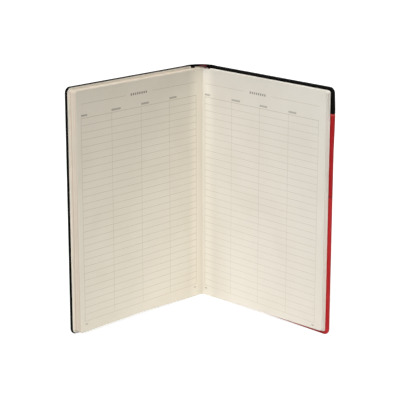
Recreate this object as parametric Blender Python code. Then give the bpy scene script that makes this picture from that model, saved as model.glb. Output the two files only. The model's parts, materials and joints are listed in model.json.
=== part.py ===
"""Elastic band notebook, A5, standing open on its tail edges.

Lengths are in metres. Every piece is drawn as it lies in the closed notebook: X runs across the
thickness from the front cover to the back cover, the spine is at Y = 0 with the fore edge towards -Y,
and Z runs from tail to head. Each half is then opened about the hinge line of its cover.
"""
import math

import bmesh
import bpy

MM = 0.001

# Case
COVER_HEIGHT = 210.0 * MM
COVER_REACH = 145.0 * MM
SQUARE = 2.5 * MM
HEAD_SQUARE = 2.6 * MM
TAIL_SQUARE = 3.5 * MM
CORNER_RADIUS = 5.0 * MM
SKIN = 0.4 * MM
LIP = 0.35 * MM
BOARD = 1.9 * MM
TURN_IN = 12.0 * MM
BOARD_SETBACK = 3.5 * MM
EDGE_ROUND = 0.6 * MM
SEAM_BELOW_HEAD = 21.5 * MM
FIT_GAP = 0.1 * MM
SEAM_GAP = 0.3 * MM

# Spine
SPINE_PAST_BLOCK = 0.5 * MM
SPINE_RISE = 2.0 * MM
SPINE_BOARD_INSET = 1.0 * MM
SPINE_BOARD = 1.4 * MM
SPINE_LIP_START = 1.35 * MM
SPINE_STEPS = 14
JOINT_CORNER_RADIUS = 1.8 * MM
HINGE_INTO_COVER = 1.5 * MM

# Leaves
SIGNATURES_LEFT = 8
SIGNATURES_RIGHT = 4
SIGNATURE = 0.78 * MM
LEAF = 0.2 * MM
LEAF_GAP = 0.1 * MM
GUTTER_GAP = 0.3 * MM
RIBBON_GAP = 0.5 * MM
COVER_GAP = 0.25 * MM
FOLD_DEPTH = 12.0 * MM
FRONT_PASTEDOWN_MARGIN = 0.8 * MM
BACK_PASTEDOWN_MARGIN = 2.7 * MM

# Sewing and spine trim
STITCH_STATIONS = 4
STITCH_HEIGHT = 1.0 * MM
STITCH_FRONT = 0.1 * MM
STITCH_BACK = 0.4 * MM
LINING_FRONT = 0.55 * MM
LINING_BACK = 0.85 * MM
LINING_END = 12.0 * MM
HEADBAND_RADIUS = 0.75 * MM
HEADBAND_SKIRT = 7.0 * MM

# Ribbon marker
RIBBON_WIDTH = 6.0 * MM
RIBBON = 0.25 * MM
RIBBON_LEFT = -1.4 * MM
RIBBON_ROOT_LENGTH = 24.0 * MM
RIBBON_IN_PAGE = 14.0 * MM
RIBBON_TAIL = 14.0 * MM
RIBBON_SLANT = 3.0 * MM

# Elastic band
BAND_WIDTH = 7.0 * MM
BAND = 0.9 * MM
BAND_TAB = 0.8 * MM
BAND_FROM_FORE_EDGE = 18.0 * MM
BAND_SLOT_FROM_END = 18.0 * MM
BAND_LEG = 22.0 * MM
BAND_TAB_LENGTH = 18.0 * MM
BAND_LIFT = 0.25 * MM
BAND_PLAY = 0.3 * MM

# Rest pose
FRONT_OPEN = math.radians(42.5)
BACK_OPEN = math.radians(42.5)

# Derived positions
LEAF_REACH = COVER_REACH - SQUARE
LEAF_TAIL = TAIL_SQUARE
LEAF_HEAD = COVER_HEIGHT - HEAD_SQUARE
COVER_THICKNESS = LIP + FIT_GAP + BOARD + FIT_GAP + SKIN
CASE_SKIN = SKIN + FIT_GAP
SPINE_BOARD_FRONT = SPINE_LIP_START + LIP + FIT_GAP
SPINE_SKIN_FRONT = SPINE_BOARD_FRONT + SPINE_BOARD + FIT_GAP
SPINE_OUTER = SPINE_SKIN_FRONT + SKIN
END_STACK = FIT_GAP + LEAF + COVER_GAP + LEAF + LEAF_GAP
LEFT_STACK = SIGNATURES_LEFT * (SIGNATURE + LEAF_GAP) + LEAF
RIGHT_STACK = SIGNATURES_RIGHT * (SIGNATURE + LEAF_GAP) + RIBBON_GAP - LEAF_GAP + LEAF
INNER_FACE = (2 * END_STACK + LEFT_STACK + GUTTER_GAP + RIGHT_STACK) / 2
OUTER_FACE = INNER_FACE + COVER_THICKNESS
BOARD_INNER = INNER_FACE + LIP + FIT_GAP
SPINE_HALF_WIDTH = INNER_FACE + SPINE_PAST_BLOCK
SPINE_RADIUS = (SPINE_HALF_WIDTH**2 + SPINE_RISE**2) / (2 * SPINE_RISE)
SPINE_LEAN = math.asin(SPINE_HALF_WIDTH / SPINE_RADIUS)
HINGE_X = INNER_FACE + HINGE_INTO_COVER
HINGE_Y = SPINE_OUTER - OUTER_FACE + HINGE_X
SEAM = COVER_HEIGHT - SEAM_BELOW_HEAD
BAND_U = COVER_REACH - BAND_FROM_FORE_EDGE


def clear_scene():
    for obj in list(bpy.data.objects):
        bpy.data.objects.remove(obj, do_unlink=True)


def linear(value):
    value = value / 255
    if value <= 0.04045:
        return value / 12.92
    return ((value + 0.055) / 1.055) ** 2.4


def material(name, rgb, roughness):
    made = bpy.data.materials.new(name)
    made.use_nodes = True
    shader = made.node_tree.nodes["Principled BSDF"]
    shader.inputs["Base Color"].default_value = [linear(v) for v in rgb] + [1.0]
    shader.inputs["Roughness"].default_value = roughness
    shader.inputs["Metallic"].default_value = 0.0
    return made


def pivot(name, parent, location, turn=0.0):
    empty = bpy.data.objects.new(name, None)
    bpy.context.scene.collection.objects.link(empty)
    empty.parent = parent
    empty.location = location
    empty.rotation_euler = (0, 0, turn)
    return empty


def add(name, rings, parent, origin, look, smooth=False):
    """A closed body lofted through rings of points, with a cap on each end ring."""
    bm = bmesh.new()
    loops = [[bm.verts.new([p[i] - origin[i] for i in range(3)]) for p in ring] for ring in rings]
    for low, high in zip(loops, loops[1:]):
        for i in range(len(low)):
            j = (i + 1) % len(low)
            bm.faces.new((low[i], low[j], high[j], high[i]))
    bm.faces.new(loops[0][::-1])
    bm.faces.new(loops[-1])
    bmesh.ops.recalc_face_normals(bm, faces=bm.faces)
    mesh = bpy.data.meshes.new(name)
    bm.to_mesh(mesh)
    bm.free()
    if smooth:
        mesh.polygons.foreach_set("use_smooth", [True] * len(mesh.polygons))
        mesh.set_sharp_from_angle(angle=math.radians(40))
    obj = bpy.data.objects.new(name, mesh)
    bpy.context.scene.collection.objects.link(obj)
    obj.parent = parent
    if look:
        obj.data.materials.append(look)
    return obj


def cut(obj, cutter):
    cutter.hide_render = True
    cutter.display_type = "WIRE"
    made = obj.modifiers.new(cutter.name, "BOOLEAN")
    made.operation = "DIFFERENCE"
    made.solver = "EXACT"
    made.object = cutter


def outline(near, far, tail, head, tail_radius=0.0, head_radius=0.0, steps=6):
    """Points (reach, z) of a sheet that is square at the spine and rounded at the fore edge."""
    points = [(near, tail)]
    if tail_radius:
        for i in range(steps + 1):
            a = math.pi / 2 * i / steps
            reach = far - tail_radius + tail_radius * math.sin(a)
            points.append((reach, tail + tail_radius - tail_radius * math.cos(a)))
    else:
        points.append((far, tail))
    if head_radius:
        for i in range(steps + 1):
            a = math.pi / 2 * i / steps
            reach = far - head_radius + head_radius * math.cos(a)
            points.append((reach, head - head_radius + head_radius * math.sin(a)))
    else:
        points.append((far, head))
    points.append((near, head))
    return points


def across(points, x):
    """A ring at thickness x from points (reach, z)."""
    return [(x, -reach, z) for reach, z in points]


def slab(name, points, low, high, parent, origin, look=None):
    return add(name, [across(points, low), across(points, high)], parent, origin, look)


def rectangle(near, far, low, high):
    """Corners of a rectangular section."""
    return [(near, low), (far, low), (far, high), (near, high)]


def bar(name, points, low, high, parent, origin, look=None, smooth=False):
    """A body with points (y, z) as its section, running along X."""
    rings = [[(x, y, z) for y, z in points] for x in (low, high)]
    return add(name, rings, parent, origin, look, smooth)


def bow(x):
    """How far the rounded spine stands back from its edges, this far from its middle."""
    return math.sqrt(SPINE_RADIUS**2 - x**2) - SPINE_RADIUS + SPINE_RISE


def bowed_bar(name, points, half, parent, look=None):
    """A bar across the spine that follows its rounding."""
    rings = []
    for i in range(SPINE_STEPS + 1):
        x = half * (2 * i / SPINE_STEPS - 1)
        rings.append([(x, y + bow(x), z) for y, z in points])
    return add(name, rings, parent, (0, 0, 0), look, smooth=True)


def bend(x, y, share, side):
    """Where a point of the closed notebook comes when this share of the opening acts on it."""
    angle = share * (FRONT_OPEN if side < 0 else BACK_OPEN)
    angle = angle * side
    dx = x - side * HINGE_X
    dy = y - HINGE_Y
    turned_x = dx * math.cos(angle) - dy * math.sin(angle)
    turned_y = dx * math.sin(angle) + dy * math.cos(angle)
    return side * HINGE_X + turned_x, HINGE_Y + turned_y


def eased(t):
    t = min(max(t, 0.0), 1.0)
    return t * t * (3 - 2 * t)


def wrapped(name, tail, head, side, parent, origin, look):
    """Cover cloth drawn round the board between two heights: outer skin, rounded edges, turned-in lips."""
    rings = []
    for i in range(6):
        a = math.pi / 4 * (i if i < 3 else 5 - i)
        depth = EDGE_ROUND * (1 - math.cos(a))
        inset = EDGE_ROUND * (1 - math.sin(a))
        radius = CORNER_RADIUS - inset
        at_tail = tail == 0
        at_head = head == COVER_HEIGHT
        points = outline(
            BOARD_SETBACK,
            COVER_REACH - inset,
            tail + (inset if at_tail else 0.0),
            head - (inset if at_head else 0.0),
            radius if at_tail else 0.0,
            radius if at_head else 0.0,
        )
        x = INNER_FACE + depth if i < 3 else OUTER_FACE - depth
        rings.append(across(points, side * x))
    obj = add(name, rings, parent, origin, look, smooth=True)
    inset = SKIN
    pocket = outline(
        0.0, COVER_REACH - inset, inset, COVER_HEIGHT - inset, CORNER_RADIUS - inset, CORNER_RADIUS - inset
    )
    low = side * (BOARD_INNER - FIT_GAP)
    high = side * (OUTER_FACE - SKIN)
    cut(obj, slab(name + "_pocket", pocket, low, high, parent, origin))
    window = outline(0.0, COVER_REACH - TURN_IN, TURN_IN, COVER_HEIGHT - TURN_IN, MM, MM)
    cut(obj, slab(name + "_window", window, side * (INNER_FACE - MM), side * BOARD_INNER, parent, origin))
    return obj


def board(name, side, parent, origin, look):
    """Grey board with a raised middle that lies level with the turned-in lips."""
    full = outline(
        BOARD_SETBACK,
        COVER_REACH - CASE_SKIN,
        CASE_SKIN,
        COVER_HEIGHT - CASE_SKIN,
        CORNER_RADIUS - CASE_SKIN,
        CORNER_RADIUS - CASE_SKIN,
    )
    edge = TURN_IN + BAND_PLAY
    raised = outline(BOARD_SETBACK + BAND_PLAY, COVER_REACH - edge, edge, COVER_HEIGHT - edge, MM, MM)
    rings = [
        across(full, side * (BOARD_INNER + BOARD)),
        across(full, side * BOARD_INNER),
        across(raised, side * BOARD_INNER),
        across(raised, side * INNER_FACE),
    ]
    return add(name, rings, parent, origin, look)


def pastedown(name, side, margin, parent, origin, look):
    points = outline(
        BOARD_SETBACK, COVER_REACH - margin, margin, COVER_HEIGHT - margin,
        CORNER_RADIUS - margin, CORNER_RADIUS - margin,
    )
    high = INNER_FACE - FIT_GAP
    return slab(name, points, side * (high - LEAF), side * high, parent, origin, look)


def leaf_sheet(name, low, high, parent, origin, look):
    near = FOLD_DEPTH + SEAM_GAP / 2
    points = outline(near, LEAF_REACH, LEAF_TAIL, LEAF_HEAD, CORNER_RADIUS, CORNER_RADIUS)
    return slab(name, points, low, high, parent, origin, look)


def fold(name, low, high, side, parent, look):
    """Folded back of a signature, from its rounded sewn edge out to where the flat leaves begin."""
    rounding = SIGNATURE / 3
    end = FOLD_DEPTH - SEAM_GAP / 2
    rings = []
    for reach, inset, share in ((0.0, rounding, 0.0), (rounding, 0.0, 0.0), (end, 0.0, 1.0)):
        x0, y0 = bend(low + inset, -reach, share, side)
        x1, y1 = bend(high - inset, -reach, share, side)
        rings.append([(x0, y0, LEAF_TAIL), (x1, y1, LEAF_TAIL), (x1, y1, LEAF_HEAD), (x0, y0, LEAF_HEAD)])
    return add(name, rings, parent, (0, 0, 0), look, smooth=True)


def joint_strip(name, side, parent, look):
    """Flexible cloth between the spine and a cover, bent round the corner of the block."""
    middle = OUTER_FACE - SKIN / 2
    back = SPINE_OUTER - SKIN / 2
    start = SPINE_HALF_WIDTH + SEAM_GAP / 2
    end = -BOARD_SETBACK + SEAM_GAP / 2
    radius = JOINT_CORNER_RADIUS
    slope = middle - radius + radius * math.sin(SPINE_LEAN) - start
    centre = back - slope * math.tan(SPINE_LEAN) - radius * math.cos(SPINE_LEAN)
    path = [(start, back, math.sin(SPINE_LEAN), math.cos(SPINE_LEAN))]
    for i in range(7):
        a = SPINE_LEAN + (math.pi / 2 - SPINE_LEAN) * i / 6
        x = middle - radius + radius * math.sin(a)
        y = centre + radius * math.cos(a)
        path.append((x, y, math.sin(a), math.cos(a)))
    for i in range(1, 7):
        path.append((middle, centre + (end - centre) * i / 6, 1.0, 0.0))
    rings = []
    for i, (x, y, nx, ny) in enumerate(path):
        share = eased((i - 1) / (len(path) - 2))
        outer = bend(side * (x + nx * SKIN / 2), y + ny * SKIN / 2, share, side)
        inner = bend(side * (x - nx * SKIN / 2), y - ny * SKIN / 2, share, side)
        rings.append([(*outer, 0.0), (*inner, 0.0), (*inner, COVER_HEIGHT), (*outer, COVER_HEIGHT)])
    return add(name, rings, parent, (0, 0, 0), look, smooth=True)


def build_spine(root, looks):
    """Cloth turned in over a rounded board."""
    half = SPINE_HALF_WIDTH
    past = half + MM
    tube = rectangle(SPINE_LIP_START, SPINE_OUTER, 0.0, COVER_HEIGHT)
    cloth = bowed_bar("spine_wrap", tube, half, root, looks["black"])
    pocket = rectangle(SPINE_BOARD_FRONT - FIT_GAP, SPINE_SKIN_FRONT, SKIN, COVER_HEIGHT - SKIN)
    cut(cloth, bowed_bar("spine_wrap_pocket", pocket, past, root))
    window = rectangle(SPINE_LIP_START - MM, SPINE_BOARD_FRONT, TURN_IN, COVER_HEIGHT - TURN_IN)
    cut(cloth, bowed_bar("spine_wrap_window", window, past, root))
    back = SPINE_BOARD_FRONT + SPINE_BOARD
    stiffener = rectangle(SPINE_BOARD_FRONT, back, CASE_SKIN, COVER_HEIGHT - CASE_SKIN)
    bowed_bar("spine_board", stiffener, half - SPINE_BOARD_INSET, root, looks["board"])


def build_trim(root, low, high, looks):
    """Thread, gauze lining and headbands on the sewn back of the block."""
    origin = (0, 0, 0)
    tail = LEAF_TAIL + LINING_END
    head = LEAF_HEAD - LINING_END
    lining = rectangle(LINING_FRONT, LINING_BACK, tail, head)
    bar("spine_lining", lining, low, high, root, origin, looks["mull"])
    for i in range(STITCH_STATIONS):
        z = tail + (head - tail) * (i + 0.5) / STITCH_STATIONS
        stitch = rectangle(STITCH_FRONT, STITCH_BACK, z - STITCH_HEIGHT / 2, z + STITCH_HEIGHT / 2)
        bar(f"sewing_stitch_{i + 1}", stitch, low, high, root, origin, looks["thread"])
    radius = HEADBAND_RADIUS
    for name, edge, way in (("headband_head", LEAF_HEAD, 1), ("headband_tail", LEAF_TAIL, -1)):
        centre_y = STITCH_BACK - radius
        centre_z = edge + way * (FIT_GAP + radius)
        bead = [(STITCH_BACK, edge - way * HEADBAND_SKIRT)]
        for i in range(13):
            a = math.radians(270 * i / 12)
            bead.append((centre_y + radius * math.cos(a), centre_z + way * radius * math.sin(a)))
        bead.append((STITCH_FRONT, edge + way * FIT_GAP))
        bead.append((STITCH_FRONT, edge - way * HEADBAND_SKIRT))
        bar(name, bead, low, high, root, origin, looks["headband"], smooth=True)


def build_ribbon_root(root, look):
    back = LINING_BACK + FIT_GAP
    front = STITCH_BACK - 2 * HEADBAND_RADIUS - SEAM_GAP
    top = LEAF_HEAD + FIT_GAP + 2 * HEADBAND_RADIUS + FIT_GAP
    foot = LEAF_HEAD + SEAM_GAP
    bottom = LEAF_HEAD - RIBBON_ROOT_LENGTH
    hook = [
        (back, bottom),
        (back + RIBBON, bottom),
        (back + RIBBON, top + RIBBON),
        (front - RIBBON, top + RIBBON),
        (front - RIBBON, foot),
        (front, foot),
        (front, top),
        (back, top),
    ]
    bar("ribbon_root", hook, RIBBON_LEFT, RIBBON_LEFT + RIBBON_WIDTH, root, (0, 0, 0), look)


def build_elastic(parent, origin, looks, boards):
    """Elastic strip on the outside of the back cover, its ends led through slots and glued inside."""
    low = BAND_U - BAND_WIDTH / 2
    high = BAND_U + BAND_WIDTH / 2
    inside = OUTER_FACE + BAND_LIFT
    outside = inside + BAND
    tab_in = INNER_FACE + FIT_GAP
    tab_out = tab_in + BAND_TAB
    middle = COVER_HEIGHT / 2
    reach = middle - BAND_SLOT_FROM_END

    def strip(name, points, near, far, look=None):
        rings = [[(x, -u, middle + z) for x, z in points] for u in (near, far)]
        return add(name, rings, parent, origin, look)

    for name, way, cloth in (("head", 1, "back_wrap_band"), ("tail", -1, "back_wrap_panel")):
        slot = way * reach
        over = slot + way * BAND / 2
        under = slot - way * BAND / 2
        leg = slot - way * BAND_LEG
        tab = slot - way * BAND_TAB_LENGTH
        points = [
            (outside, leg),
            (outside, over),
            (tab_in, over),
            (tab_in, tab),
            (tab_out, tab),
            (tab_out, under),
            (inside, under),
            (inside, leg),
        ]
        strip(f"elastic_{name}_end", points, low, high, looks["elastic"])
        near = low - BAND_PLAY
        far = high + BAND_PLAY
        past = over + way * BAND_PLAY
        before = under - way * BAND_PLAY
        shy = tab - way * BAND_PLAY
        deep = tab_out + FIT_GAP
        hole = rectangle(INNER_FACE - MM, OUTER_FACE + MM, past, before)
        recess = rectangle(INNER_FACE - MM, deep, past, shy)
        cut(boards["back_board"], strip(f"slot_{name}", hole, near, far))
        cut(boards["back_board"], strip(f"recess_{name}", recess, near - FIT_GAP, far + FIT_GAP))
        cut(boards[cloth], strip(f"slot_{name}_cloth", hole, near, far))
    span = reach - BAND_LEG - SEAM_GAP
    strip("elastic_band", rectangle(inside, outside, -span, span), low, high, looks["elastic"])


def build_covers(left, left_origin, right, right_origin, looks):
    board("front_board", -1, left, left_origin, looks["board"])
    wrapped("front_wrap", 0.0, COVER_HEIGHT, -1, left, left_origin, looks["black"])
    pastedown("front_pastedown", -1, FRONT_PASTEDOWN_MARGIN, left, left_origin, looks["endpaper"])
    boards = {"back_board": board("back_board", 1, right, right_origin, looks["board"])}
    low = SEAM - SEAM_GAP / 2
    high = SEAM + SEAM_GAP / 2
    boards["back_wrap_band"] = wrapped(
        "back_wrap_band", high, COVER_HEIGHT, 1, right, right_origin, looks["black"]
    )
    boards["back_wrap_panel"] = wrapped("back_wrap_panel", 0.0, low, 1, right, right_origin, looks["red"])
    pastedown("back_pastedown", 1, BACK_PASTEDOWN_MARGIN, right, right_origin, looks["endpaper"])
    build_elastic(right, right_origin, looks, boards)


def build_leaves(root, left, left_origin, right, right_origin, looks):
    """The block from front to back. Returns the thickness range of its sewn back."""
    paper = looks["paper"]
    x = -INNER_FACE + FIT_GAP + LEAF + COVER_GAP
    block_low = x
    leaf_sheet("front_flyleaf", x, x + LEAF, left, left_origin, looks["endpaper"])
    x = x + LEAF + LEAF_GAP
    for i in range(1, SIGNATURES_LEFT + 1):
        leaf_sheet(f"signature_{i:02d}", x, x + SIGNATURE, left, left_origin, paper)
        low = block_low if i == 1 else x
        high = x + SIGNATURE
        if i == SIGNATURES_LEFT:
            high = high + LEAF_GAP + LEAF
        fold(f"signature_{i:02d}_fold", low, high, -1, root, paper)
        x = x + SIGNATURE + LEAF_GAP
    hinge = (x + LEAF / 2, -FOLD_DEPTH - SEAM_GAP / 2, 0)
    turn = pivot("left_leaf_pivot", left, [hinge[i] - left_origin[i] for i in range(3)])
    leaf_sheet("left_leaf", x, x + LEAF, turn, hinge, paper)
    x = x + LEAF + GUTTER_GAP
    hinge = (x + LEAF / 2, -FOLD_DEPTH - SEAM_GAP / 2, 0)
    turn = pivot("right_leaf_pivot", right, [hinge[i] - right_origin[i] for i in range(3)])
    leaf_sheet("right_leaf", x, x + LEAF, turn, hinge, paper)
    leaf_low = x
    x = x + LEAF + LEAF_GAP
    last = SIGNATURES_LEFT + SIGNATURES_RIGHT
    for i in range(SIGNATURES_LEFT + 1, last + 1):
        leaf_sheet(f"signature_{i:02d}", x, x + SIGNATURE, right, right_origin, paper)
        low = leaf_low if i == SIGNATURES_LEFT + 1 else x
        high = x + SIGNATURE
        if i == last:
            high = high + LEAF_GAP + LEAF
        fold(f"signature_{i:02d}_fold", low, high, 1, root, paper)
        x = x + SIGNATURE + LEAF_GAP
        if i == SIGNATURES_LEFT + SIGNATURES_RIGHT // 2:
            low = x - LEAF_GAP + (RIBBON_GAP - RIBBON) / 2
            points = outline(RIBBON_IN_PAGE, RIBBON_IN_PAGE + RIBBON_WIDTH, RIBBON_TAIL, LEAF_HEAD + MM)
            points[0] = (RIBBON_IN_PAGE, RIBBON_TAIL + RIBBON_SLANT)
            slab("ribbon_marker", points, low, low + RIBBON, right, right_origin, looks["ribbon"])
            x = x + RIBBON_GAP - LEAF_GAP
    leaf_sheet("back_flyleaf", x, x + LEAF, right, right_origin, looks["endpaper"])
    return block_low, x + LEAF


def main():
    clear_scene()
    looks = {
        "black": material("black_cover_cloth", (17, 16, 14), 0.55),
        "red": material("red_cover_cloth", (186, 44, 43), 0.5),
        "board": material("grey_board", (150, 142, 130), 0.9),
        "paper": material("ivory_paper", (226, 219, 203), 0.85),
        "endpaper": material("ivory_endpaper", (222, 212, 194), 0.85),
        "mull": material("spine_gauze", (214, 208, 196), 0.9),
        "thread": material("sewing_thread", (236, 232, 222), 0.7),
        "headband": material("headband_cloth", (222, 213, 194), 0.7),
        "ribbon": material("ribbon_satin", (140, 22, 28), 0.4),
        "elastic": material("woven_elastic", (26, 24, 24), 0.75),
    }
    page_x = -INNER_FACE + END_STACK + LEFT_STACK
    front_y = bend(page_x, -LEAF_REACH, 1.0, -1)[1]
    root = pivot("notebook", None, (0, -(front_y + SPINE_OUTER + SPINE_RISE) / 2, 0))
    left_origin = (-HINGE_X, HINGE_Y, 0)
    right_origin = (HINGE_X, HINGE_Y, 0)
    left = pivot("front_hinge", root, left_origin, -FRONT_OPEN)
    right = pivot("back_hinge", root, right_origin, BACK_OPEN)
    build_spine(root, looks)
    joint_strip("front_joint", -1, root, looks["black"])
    joint_strip("back_joint", 1, root, looks["black"])
    build_covers(left, left_origin, right, right_origin, looks)
    block_low, block_high = build_leaves(root, left, left_origin, right, right_origin, looks)
    build_trim(root, block_low + LEAF, block_high - LEAF, looks)
    build_ribbon_root(root, looks["ribbon"])


main()
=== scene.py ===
"""Looks of the elastic band notebook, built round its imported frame.

Lengths are in metres. Places on the notebook are written as they lie in the closed book: across runs from the
front cover to the back cover, reach runs from the sewn back to the fore edge, and height from tail to head.
placed() carries such a point into the open notebook of the frame.
"""

import json
import random
from functools import partialmethod
from math import asin, ceil, cos, inf, pi, radians, sin, sqrt, tan

import bmesh
import bpy
import numpy as np
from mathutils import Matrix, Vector


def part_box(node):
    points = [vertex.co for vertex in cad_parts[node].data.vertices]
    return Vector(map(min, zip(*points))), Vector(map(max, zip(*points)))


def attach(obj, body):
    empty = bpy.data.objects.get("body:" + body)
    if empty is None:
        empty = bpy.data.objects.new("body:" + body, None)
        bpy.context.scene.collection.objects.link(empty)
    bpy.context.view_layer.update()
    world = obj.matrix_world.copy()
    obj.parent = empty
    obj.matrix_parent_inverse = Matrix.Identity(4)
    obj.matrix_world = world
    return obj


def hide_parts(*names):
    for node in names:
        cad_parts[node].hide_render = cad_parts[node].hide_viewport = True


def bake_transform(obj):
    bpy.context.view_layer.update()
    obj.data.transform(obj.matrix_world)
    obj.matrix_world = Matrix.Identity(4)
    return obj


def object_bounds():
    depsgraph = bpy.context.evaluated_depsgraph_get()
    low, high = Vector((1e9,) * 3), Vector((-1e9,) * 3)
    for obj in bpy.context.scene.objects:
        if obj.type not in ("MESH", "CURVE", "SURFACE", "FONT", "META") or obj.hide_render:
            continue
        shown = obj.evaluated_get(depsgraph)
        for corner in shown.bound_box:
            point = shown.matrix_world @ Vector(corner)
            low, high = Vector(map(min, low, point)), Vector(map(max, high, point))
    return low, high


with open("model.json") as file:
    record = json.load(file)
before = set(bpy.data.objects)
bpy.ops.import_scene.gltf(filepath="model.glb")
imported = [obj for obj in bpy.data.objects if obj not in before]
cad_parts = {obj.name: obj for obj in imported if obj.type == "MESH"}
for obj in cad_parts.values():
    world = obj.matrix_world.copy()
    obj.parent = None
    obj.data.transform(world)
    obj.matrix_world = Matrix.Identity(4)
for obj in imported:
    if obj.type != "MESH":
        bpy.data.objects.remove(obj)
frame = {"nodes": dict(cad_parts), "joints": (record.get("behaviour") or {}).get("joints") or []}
CAD_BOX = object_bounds()

MM = 0.001
LEFT = -1
RIGHT = 1

# Camera, for a square picture
PICTURE = 400
FOCAL_PIXELS = 1450
SENSOR = 36.0
CAMERA_PLACE = Vector((7.59, -1195.93, 423.71)) * MM
CAMERA_PITCH = radians(15.035)
CAMERA_YAW = radians(0.373)

# Floor, surroundings and lamps. A sun has a name, a place, an angle, a strength and a colour.
FLOOR_SIZE = 12.0
FLOOR_RGB = (244, 244, 243)
FLOOR_SHADE_RGB = (170, 170, 170)
FLOOR_WHITE = 0.85
AMBIENT = 0.08
SUNS = (
    ("overhead", (0.05, -0.3, 1.0), radians(40), 1.75, (1.0, 0.97, 0.86)),
    ("key", (-0.6, -0.7, 0.8), radians(25), 1.46, (0.965, 1.005, 1.1)),
    ("back", (0.25, 0.9, 0.5), radians(30), 0.5, (1.0, 1.0, 1.0)),
)
SPOT_RGB = (1.0, 0.99, 0.96)
SPOT_FROM = Vector((0.9, -0.9, 0.35))
SPOT_TO = Vector((-0.05, -0.01, 0.02))
SPOT_CONE = radians(18)
SPOT_POWER = 13.0
SPOT_RADIUS = 0.1

# Colours, as 8-bit display values: own, shade and edges of a paper; own, worn and gloss of a cloth
PAGE_RGBS = {
    LEFT: ((229, 223, 212), (217, 210, 196), (202, 171, 140)),
    # The right leaves' edge colour is paler than the paper. It is painted light on the shaded fore edge of
    # the right block, varying at random from leaf to leaf.
    RIGHT: ((229, 223, 212), (217, 210, 196), (248, 244, 237)),
}
# The endpaper is painted whiter than the page paper: painted light that lifts the pastedown's strips beside
# the block's head and fore edge out of their shade.
ENDPAPER_RGBS = ((250, 245, 236), (240, 233, 220), (240, 233, 220))
BLACK_CLOTH = ((4, 4, 3), (11, 10, 9), 0.05)
RED_CLOTH = ((172, 24, 30), (184, 38, 40), 0.2)
# Painted light: paper lightened towards the gutter, where the fold lies in shade.
GUTTER_PAINTED_LIGHT_RGB = (247, 241, 229)
RULE_RGB = (190, 180, 162)
WORD_RGB = (136, 128, 114)
RED_UPPER_RGB = (156, 9, 17)
SEAM_RGB = (196, 92, 84)
PRESSED_RGB = (96, 3, 7)
BOARD_RGB = (150, 142, 130)
BOARD_FLECK_RGB = (112, 104, 94)

# Grain of the materials: sizes of its features and depths of its relief
PAPER_CLOUD = 38.0 * MM
PAPER_FIBRE = 0.5 * MM
PAPER_TOOTH = 0.02 * MM
CLOTH_PEBBLE = 0.55 * MM
CLOTH_CREASE = 0.18 * MM
CLOTH_RUB = 22.0 * MM
CLOTH_GRAIN = 0.05 * MM
BOARD_FLECK = 0.9 * MM
BOARD_GRAIN = 0.05 * MM
WEAVE_SLUB = 1.6 * MM
WEAVE_DEPTH = 0.06 * MM

# Weaves: colours of threads and gaps, spacing along and across a strip, and gloss
WEAVES = {
    "woven_elastic": ((27, 26, 26), (9, 9, 9), 0.55 * MM, 0.875 * MM, 0.25),
    "headband_cloth": ((222, 213, 194), (176, 165, 144), 0.5 * MM, 0.4 * MM, 0.15),
    "sewing_thread": ((236, 232, 222), (205, 198, 184), 0.3 * MM, 0.2 * MM, 0.3),
    "spine_gauze": ((214, 208, 196), (150, 143, 132), 0.9 * MM, 0.9 * MM, 0.3),
    # The ribbon's colours are painted darker than its red satin: painted shade, as on its patch at the head
    # of the spine.
    "ribbon_satin": ((76, 3, 10), (48, 1, 5), 0.35 * MM, 0.22 * MM, 0.1),
}

# Halves of the notebook
JOINTS = {joint["name"]: joint for joint in frame["joints"]}
PAGES = {LEFT: "left_pages", RIGHT: "right_pages"}
COVERS = {LEFT: "front_cover", RIGHT: "back_cover"}
LEAVES = {LEFT: "left_leaf", RIGHT: "right_leaf"}
NAMES = {LEFT: "front", RIGHT: "back"}
FOLDS = {side: JOINTS[PAGES[side] + "_fold"] for side in PAGES}
HINGES = {side: Vector(FOLDS[side]["pos_m"]) for side in PAGES}
OPENINGS = {side: -radians(FOLDS[side]["range_deg"][0]) for side in PAGES}
SIGNATURES = {LEFT: range(1, 9), RIGHT: range(9, 13)}
SIGNATURE_COUNT = SIGNATURES[RIGHT][-1]
SEWN_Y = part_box("signature_01_fold")[1].y


def evenly(start, end, steps):
    """Values from start to end in equal steps."""
    return [start + (end - start) * i / steps for i in range(steps + 1)]


def eased(t):
    """A share from 0 to 1, slowed down at both ends."""
    t = min(max(t, 0.0), 1.0)
    return t * t * (3 - 2 * t)


def turned(x, y, side, share):
    """A point in plan, turned about the hinge line of its half by a share of the opening."""
    angle = side * share * OPENINGS[side]
    dx = x - HINGES[side].x
    dy = y - HINGES[side].y
    turned_x = dx * cos(angle) - dy * sin(angle)
    turned_y = dx * sin(angle) + dy * cos(angle)
    return HINGES[side].x + turned_x, HINGES[side].y + turned_y


def placed(point, side, share=1.0):
    """Where a point (across, reach, height) of the closed notebook lies in the open one."""
    x, y = turned(point[0], SEWN_Y - point[1], side, share)
    return Vector((x, y, point[2]))


def placed_way(point, way):
    """A direction at a point of the right half, as it lies in the open notebook."""
    return (placed(Vector(point) + Vector(way) * MM, RIGHT) - placed(point, RIGHT)) / MM


def closed_box(node, side):
    """Lowest and highest (across, reach, height) of a CAD node, with its half turned shut."""
    points = []
    for vertex in frame["nodes"][node].data.vertices:
        x, y = turned(vertex.co.x, vertex.co.y, side, -1.0)
        points.append((x, SEWN_Y - y, vertex.co.z))
    return Vector(np.min(points, axis=0)), Vector(np.max(points, axis=0))


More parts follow.
